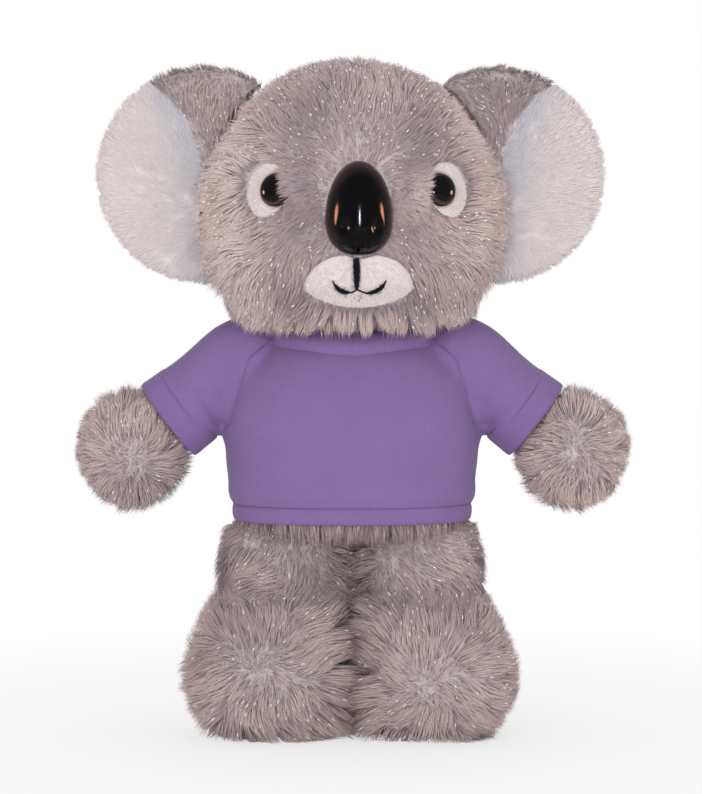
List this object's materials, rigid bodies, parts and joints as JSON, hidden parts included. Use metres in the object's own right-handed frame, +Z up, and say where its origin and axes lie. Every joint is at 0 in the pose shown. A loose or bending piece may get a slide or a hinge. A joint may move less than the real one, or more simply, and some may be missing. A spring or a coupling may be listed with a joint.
{
  "type": "plush koala",
  "caption": "Standing plush koala in a short-sleeved T-shirt, with a head that turns, arms that lift and legs that swing forward to sit.",
  "frame": {"origin": "on the floor, under the middle of the toy's outer box", "axes": "+Z up through the standing toy, -Y the way it faces, +X towards its own left side"},
  "size_m": [0.2522, 0.1298, 0.3043],
  "materials": {
    "grey_fur": "long-pile polyester fur, grey-taupe with pale tinsel fibres",
    "white_plush": "short white plush",
    "purple_knit": "fine purple cotton knit",
    "stuffing": "white polyester fibre",
    "nose_plastic": "polished black moulding",
    "eye_plastic": "polished dark brown moulding with a black pupil",
    "washer_plastic": "natural moulded plastic",
    "mouth_thread": "dark embroidery thread"
  },
  "bodies": {
    "torso": {"torso_skin": "grey_fur", "torso_stuffing": "stuffing", "shirt_front": "purple_knit", "shirt_back": "purple_knit", "shirt_hem": "purple_knit", "shirt_collar": "purple_knit"},
    "head": {"head_skin": "grey_fur", "head_stuffing": "stuffing", "nose": "nose_plastic", "nose_washer": "washer_plastic", "muzzle_patch": "white_plush", "mouth_stitching": "mouth_thread", "eye_left": "eye_plastic", "eye_washer_left": "washer_plastic", "eye_patch_left": "white_plush", "ear_back_left": "grey_fur", "ear_front_left": "white_plush", "eye_right": "eye_plastic", "eye_washer_right": "washer_plastic", "eye_patch_right": "white_plush", "ear_back_right": "grey_fur", "ear_front_right": "white_plush"},
    "arm_left": {"arm_skin_left": "grey_fur", "arm_stuffing_left": "stuffing", "shirt_sleeve_left": "purple_knit", "sleeve_cuff_left": "purple_knit"},
    "arm_right": {"arm_skin_right": "grey_fur", "arm_stuffing_right": "stuffing", "shirt_sleeve_right": "purple_knit", "sleeve_cuff_right": "purple_knit"},
    "leg_left": {"leg_skin_left": "grey_fur", "leg_stuffing_left": "stuffing"},
    "leg_right": {"leg_skin_right": "grey_fur", "leg_stuffing_right": "stuffing"}
  },
  "joints": [
    {"name": "head_turn", "type": "hinge", "parent": "torso", "child": "head", "pos_m": [0, 0.009, 0.184], "axis": [0, 0, 1], "range_deg": [-30, 30], "stiffness_Nm_per_rad": 0.3},
    {"name": "arm_lift_left", "type": "hinge", "parent": "torso", "child": "arm_left", "pos_m": [0.058, 0.009, 0.16], "axis": [0, -1, 0], "range_deg": [-15, 50], "stiffness_Nm_per_rad": 0.15, "springref_deg": 3.44},
    {"name": "arm_lift_right", "type": "hinge", "parent": "torso", "child": "arm_right", "pos_m": [-0.058, 0.009, 0.16], "axis": [0, 1, 0], "range_deg": [-15, 50], "stiffness_Nm_per_rad": 0.15, "springref_deg": 3.44},
    {"name": "leg_swing_left", "type": "hinge", "parent": "torso", "child": "leg_left", "pos_m": [0.031, -0.0045, 0.0795], "axis": [-1, 0, 0], "range_deg": [0, 80], "stiffness_Nm_per_rad": 0.35, "springref_deg": -14.32},
    {"name": "leg_swing_right", "type": "hinge", "parent": "torso", "child": "leg_right", "pos_m": [-0.031, -0.0045, 0.0795], "axis": [-1, 0, 0], "range_deg": [0, 80], "stiffness_Nm_per_rad": 0.35, "springref_deg": -14.32}
  ]
}
